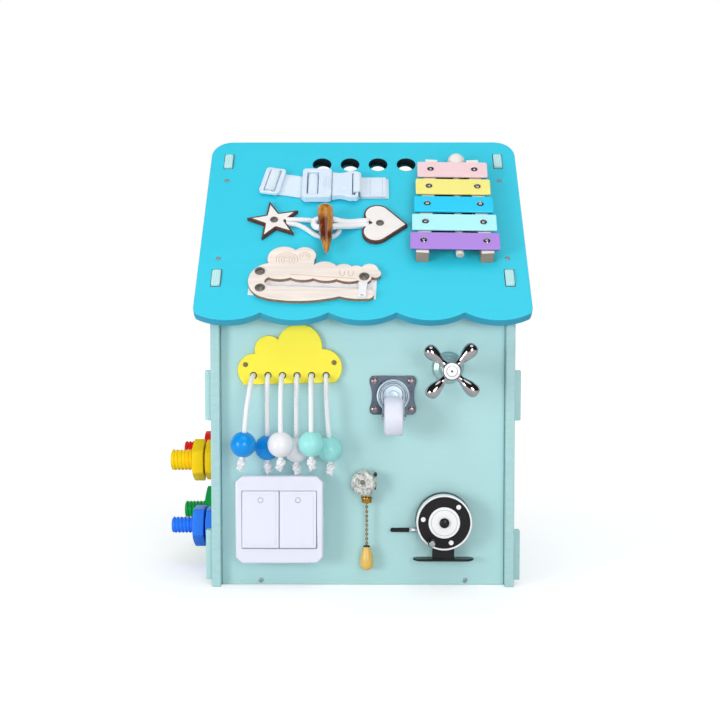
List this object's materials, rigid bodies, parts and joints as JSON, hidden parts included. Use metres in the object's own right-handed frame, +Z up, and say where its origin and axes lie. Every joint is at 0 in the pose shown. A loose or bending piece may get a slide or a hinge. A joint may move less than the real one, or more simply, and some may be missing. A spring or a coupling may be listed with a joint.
{
  "type": "wooden activity board house",
  "caption": "House-shaped plywood activity cube with a scalloped pitched roof that carries latches, beads, a switch, a caster, a tap, a reel, a zip, a xylophone and toy bolts.",
  "frame": {"origin": "middle of the footprint of the boards, on the underside of the floor board", "axes": "+Z up, the side with the cloud and the switch faces -Y, the side with the toy bolts faces -X"},
  "size_m": [0.3685, 0.37, 0.458],
  "materials": {
    "wall_paint": "satin paint on plywood",
    "roof_paint": "satin paint on plywood",
    "yellow_paint": "satin paint on plywood",
    "white_paint": "satin paint on plywood",
    "raw_plywood": "sanded plywood",
    "small_screw_steel": "satin",
    "pan_screw_steel": "polished",
    "white_cord": "braided cord",
    "blue_bead": "gloss paint",
    "white_bead": "gloss paint",
    "mint_bead": "gloss paint",
    "switch_plastic": "gloss",
    "zinc": "bright zinc plating",
    "wheel_nylon": "smooth nylon",
    "tap_chrome": "polished",
    "cap_white": "gloss",
    "clear_plastic": "clear plastic",
    "brass": "polished",
    "pull_wood": "varnished",
    "black_plastic": "satin",
    "spool_plastic": "satin",
    "webbing": "woven webbing",
    "buckle_plastic": "satin",
    "horn": "polished, mottled",
    "zip_tape": "woven tape",
    "zip_slider": "gloss enamel",
    "rail_wood": "painted wood",
    "bar_enamel": "gloss enamel in several colours",
    "mallet_wood": "painted wood",
    "bolt_plastic": "gloss, one colour per bolt",
    "yellow_plastic": "gloss",
    "red_plastic": "gloss",
    "green_plastic": "gloss",
    "blue_plastic": "gloss"
  },
  "bodies": {
    "house": {"floor_board": "wall_paint", "front_wall": "wall_paint", "back_wall": "wall_paint", "left_wall": "wall_paint", "right_wall": "wall_paint", "front_roof": "roof_paint", "back_roof": "roof_paint", "wood_screws": "small_screw_steel", "cloud": "yellow_paint", "cord_blue": "white_cord", "cord_white": "white_cord", "cord_mint": "white_cord", "switch_box": "switch_plastic", "switch_plate": "switch_plastic", "caster_plate": "zinc", "tap_flange": "tap_chrome", "tap_spindle": "tap_chrome", "pull_switch": "clear_plastic", "pull_switch_nut": "brass", "reel_frame": "black_plastic", "reel_guide": "black_plastic", "left_strap": "webbing", "strap_slider": "buckle_plastic", "buckle_socket": "buckle_plastic", "right_strap": "webbing", "star": "white_paint", "heart": "white_paint", "toggle": "horn", "loop_cord": "white_cord", "toggle_cord": "white_cord", "crocodile": "raw_plywood", "zip_tape": "zip_tape", "pan_screws": "pan_screw_steel", "xylophone_rails": "rail_wood", "xylophone_bars": "bar_enamel", "toy_bolts": "bolt_plastic"},
    "blue_bead_front": {"blue_bead_front": "blue_bead"},
    "blue_bead_rear": {"blue_bead_rear": "blue_bead"},
    "white_bead_front": {"white_bead_front": "white_bead"},
    "white_bead_rear": {"white_bead_rear": "white_bead"},
    "mint_bead_front": {"mint_bead_front": "mint_bead"},
    "mint_bead_rear": {"mint_bead_rear": "mint_bead"},
    "left_rocker": {"left_rocker": "switch_plastic"},
    "right_rocker": {"right_rocker": "switch_plastic"},
    "caster_fork": {"caster_fork": "zinc", "caster_axle": "zinc"},
    "caster_wheel": {"caster_wheel": "wheel_nylon"},
    "tap_handle": {"tap_handle": "tap_chrome", "tap_cap": "cap_white"},
    "reel_spool": {"reel_spool": "spool_plastic"},
    "reel_knob": {"reel_knob": "black_plastic"},
    "bead_chain": {"bead_chain": "brass"},
    "chain_pull": {"chain_pull": "pull_wood"},
    "nut_yellow": {"nut_yellow": "yellow_plastic"},
    "nut_red": {"nut_red": "red_plastic"},
    "nut_green": {"nut_green": "green_plastic"},
    "nut_blue": {"nut_blue": "blue_plastic"},
    "zip_slider": {"zip_slider": "zip_slider"},
    "buckle_plug": {"buckle_plug": "buckle_plastic"},
    "mallet": {"mallet": "mallet_wood"}
  },
  "joints": [
    {"name": "blue_bead_front_slide", "type": "slide", "parent": "house", "child": "blue_bead_front", "axis": [0.0995, 0, 0.995], "range_m": [0, 0.02]},
    {"name": "blue_bead_rear_slide", "type": "slide", "parent": "house", "child": "blue_bead_rear", "axis": [0, 0, 1], "range_m": [0, 0.02]},
    {"name": "white_bead_front_slide", "type": "slide", "parent": "house", "child": "white_bead_front", "axis": [0, 0, 1], "range_m": [0, 0.02]},
    {"name": "white_bead_rear_slide", "type": "slide", "parent": "house", "child": "white_bead_rear", "axis": [0, 0, 1], "range_m": [0, 0.02]},
    {"name": "mint_bead_front_slide", "type": "slide", "parent": "house", "child": "mint_bead_front", "axis": [0, 0, 1], "range_m": [0, 0.02]},
    {"name": "mint_bead_rear_slide", "type": "slide", "parent": "house", "child": "mint_bead_rear", "axis": [-0.0599, 0, 0.9982], "range_m": [0, 0.02]},
    {"name": "left_rocker_tilt", "type": "hinge", "parent": "house", "child": "left_rocker", "pos_m": [-0.0999, -0.1581, 0.0701], "axis": [1, 0, 0], "range_deg": [0, 7]},
    {"name": "right_rocker_tilt", "type": "hinge", "parent": "house", "child": "right_rocker", "pos_m": [-0.0633, -0.1581, 0.0701], "axis": [1, 0, 0], "range_deg": [0, 7]},
    {"name": "caster_swivel", "type": "hinge", "parent": "house", "child": "caster_fork", "pos_m": [0.0299, -0.146, 0.1905], "axis": [0, -1, 0], "continuous": true},
    {"name": "caster_wheel_spin", "type": "hinge", "parent": "caster_fork", "child": "caster_wheel", "pos_m": [0.0299, -0.171, 0.1722], "axis": [1, 0, 0], "continuous": true},
    {"name": "tap_turn", "type": "hinge", "parent": "house", "child": "tap_handle", "pos_m": [0.0843, -0.192, 0.2179], "axis": [0, -1, 0], "continuous": true},
    {"name": "spool_turn", "type": "hinge", "parent": "house", "child": "reel_spool", "pos_m": [0.0798, -0.158, 0.0672], "axis": [0, -1, 0], "continuous": true},
    {"name": "reel_knob_spin", "type": "hinge", "parent": "reel_spool", "child": "reel_knob", "pos_m": [0.06718, -0.17, 0.04918], "axis": [0, -1, 0], "continuous": true},
    {"name": "chain_pull_slide", "type": "slide", "parent": "house", "child": "bead_chain", "axis": [0, 0, -1], "range_m": [0, 0.008], "stiffness_N_per_m": 200, "springref_m": -0.002},
    {"name": "pull_swing", "type": "hinge", "parent": "bead_chain", "child": "chain_pull", "pos_m": [0.0039, -0.1495, 0.0395], "axis": [0, -1, 0], "range_deg": [-25, 25]},
    {"name": "nut_yellow_turn", "type": "hinge", "parent": "house", "child": "nut_yellow", "pos_m": [-0.176, -0.068, 0.1155], "axis": [-1, 0, 0], "continuous": true},
    {"name": "nut_red_turn", "type": "hinge", "parent": "house", "child": "nut_red", "pos_m": [-0.176, 0.022, 0.1155], "axis": [-1, 0, 0], "continuous": true},
    {"name": "nut_green_turn", "type": "hinge", "parent": "house", "child": "nut_green", "pos_m": [-0.176, 0.022, 0.046], "axis": [-1, 0, 0], "continuous": true},
    {"name": "nut_blue_turn", "type": "hinge", "parent": "house", "child": "nut_blue", "pos_m": [-0.176, -0.068, 0.046], "axis": [-1, 0, 0], "continuous": true},
    {"name": "zip_slide", "type": "slide", "parent": "house", "child": "zip_slider", "axis": [-0.999, 0.0302, 0.0338], "range_m": [0, 0.088]},
    {"name": "buckle_slide", "type": "slide", "parent": "house", "child": "buckle_plug", "axis": [1, 0, 0], "range_m": [0, 0.016], "deforming": ["right_strap"]},
    {"name": "mallet_slide", "type": "slide", "parent": "house", "child": "mallet", "axis": [0.0192, 0.6664, 0.7453], "range_m": [0, 0.14]}
  ]
}
